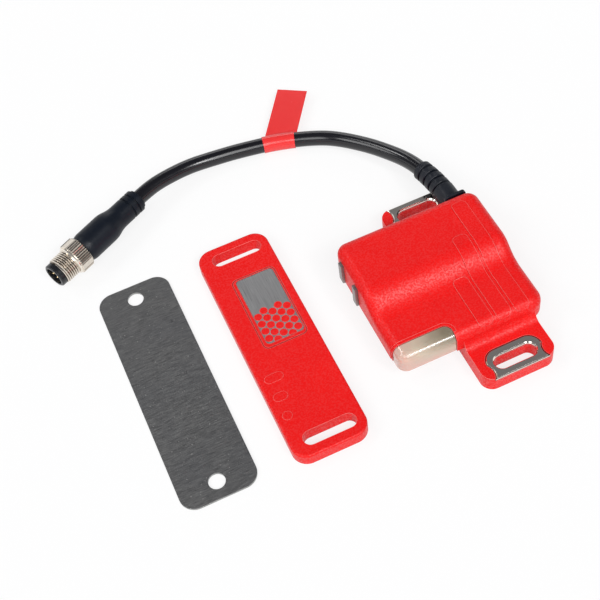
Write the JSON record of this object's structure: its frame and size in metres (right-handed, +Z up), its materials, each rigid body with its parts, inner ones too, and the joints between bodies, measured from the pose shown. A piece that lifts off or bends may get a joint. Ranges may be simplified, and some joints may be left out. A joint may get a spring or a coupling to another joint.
{
  "type": "non-contact safety switch",
  "caption": "Coded non-contact safety switch set: flanged sensor with stepped body, short cable and round threaded connector, a flat slotted actuator and a steel backing plate.",
  "frame": {"origin": "on the sensor's mounting face, midway between its two screw slots", "axes": "+X across the set to the right, +Y along the screw line to the cable side, +Z up from the mounting face"},
  "size_m": [0.1722, 0.1856, 0.0226],
  "materials": {
    "red_plastic": "satin",
    "cover_plastic": "satin",
    "milky_plastic": "satin",
    "plated_insert": "polished",
    "pole_steel": "satin",
    "board_laminate": "satin",
    "chip_epoxy": "matte",
    "lamp_resin": "gloss",
    "ferrite": "matte",
    "copper": "satin",
    "magnet": "satin",
    "black_rubber": "matte",
    "wire_insulation": "satin",
    "cable_black": "gloss",
    "label_film": "satin",
    "carrier_plastic": "satin",
    "gold_plate": "polished",
    "nickel_plate": "polished",
    "inlay_steel": "brushed",
    "plate_steel": "brushed"
  },
  "bodies": {
    "sensor": {"sensor_housing": "red_plastic", "sensor_base_cover": "cover_plastic", "front_mount_insert": "plated_insert", "rear_mount_insert": "plated_insert", "light_pipe": "milky_plastic", "circuit_board": "board_laminate", "board_chips": "chip_epoxy", "indicator_leds": "lamp_resin", "antenna_core": "ferrite", "antenna_coil": "copper", "holding_magnet": "magnet", "pole_shoes": "pole_steel", "cable_boot": "black_rubber", "lead_wires": "wire_insulation", "cable_jacket": "cable_black", "cable_flag_label": "label_film", "connector_body": "black_rubber", "contact_carrier": "carrier_plastic", "contact_pins": "gold_plate"},
    "coupling_nut": {"coupling_nut": "nickel_plate"},
    "actuator": {"actuator_housing": "red_plastic", "actuator_back_cover": "cover_plastic", "steel_inlay": "inlay_steel", "tag_board": "board_laminate", "tag_coil": "copper", "tag_chip": "chip_epoxy"},
    "steel_plate": {"steel_plate": "plate_steel"}
  },
  "joints": [
    {"name": "nut_spin", "type": "hinge", "parent": "sensor", "child": "coupling_nut", "pos_m": [-0.14103, 0.08614, 0.0074], "axis": [-0.8926, -0.4509, 0], "continuous": true},
    {"name": "actuator_lift", "type": "slide", "parent": "sensor", "child": "actuator", "axis": [0, 0, 1], "range_m": [0, 0.04]},
    {"name": "plate_lift", "type": "slide", "parent": "sensor", "child": "steel_plate", "axis": [0, 0, 1], "range_m": [0, 0.04]}
  ]
}
